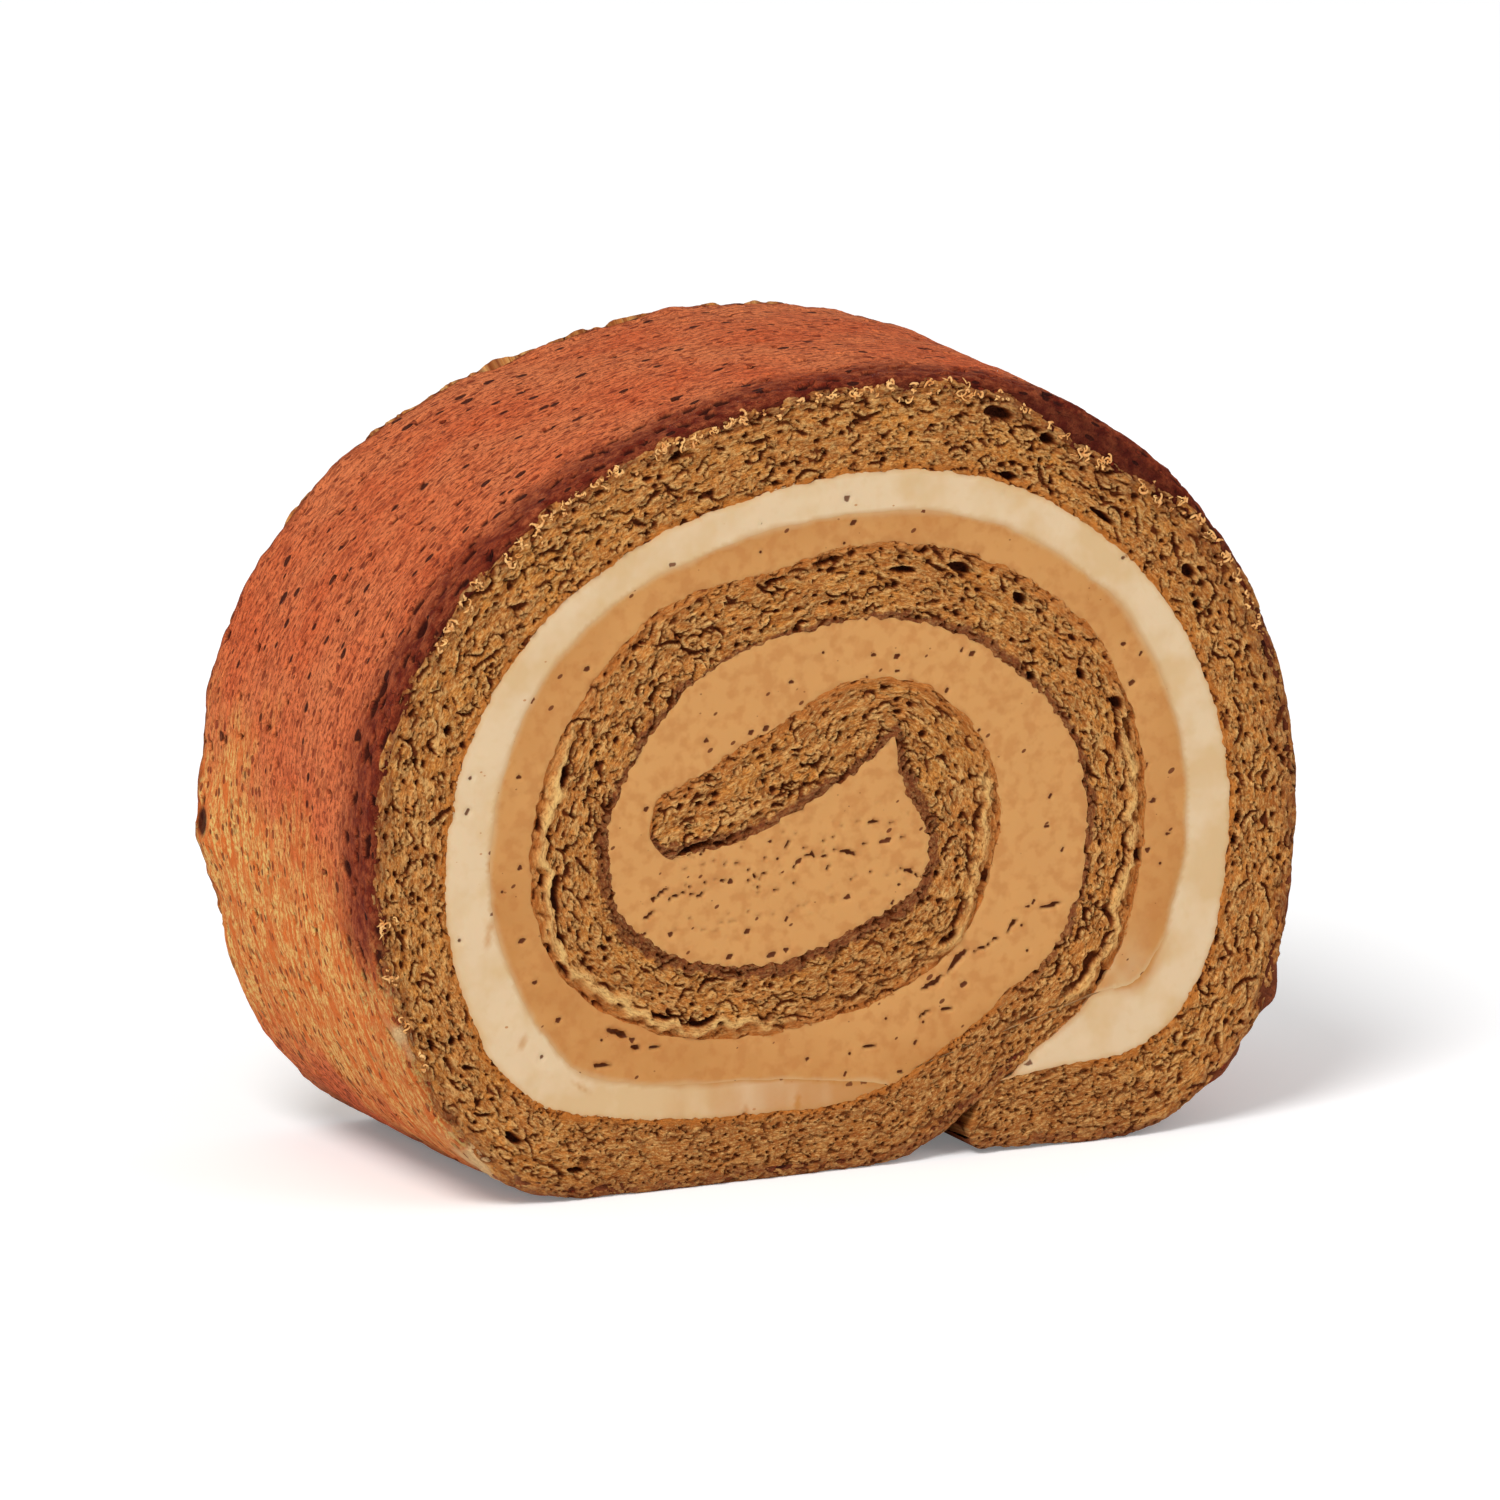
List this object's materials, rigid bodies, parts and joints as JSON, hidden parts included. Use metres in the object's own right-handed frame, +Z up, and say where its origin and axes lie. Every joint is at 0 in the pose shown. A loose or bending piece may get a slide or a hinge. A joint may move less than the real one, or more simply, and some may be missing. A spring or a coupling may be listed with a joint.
{
  "type": "swiss roll cake",
  "caption": "Thick slice of rolled sponge cake with a spiral of white cream and coffee cream, resting on its flat base.",
  "frame": {"origin": "under the middle of the slice's bounding box, on the level that it rests on", "axes": "+X to the right and +Z up when the slice is seen from -Y; the roll's axis and the slice's thickness lie along Y, and both cut faces lie across Y"},
  "size_m": [0.0911, 0.036, 0.071],
  "materials": {
    "sponge": "matte open crumb, tan brown, with a cocoa-red baked skin",
    "white_cream": "smooth ivory cream, soft sheen",
    "coffee_cream": "smooth light coffee cream, soft sheen"
  },
  "bodies": {
    "root": {"sponge": "sponge", "white_cream": "white_cream", "coffee_cream": "coffee_cream"}
  },
  "joints": []
}
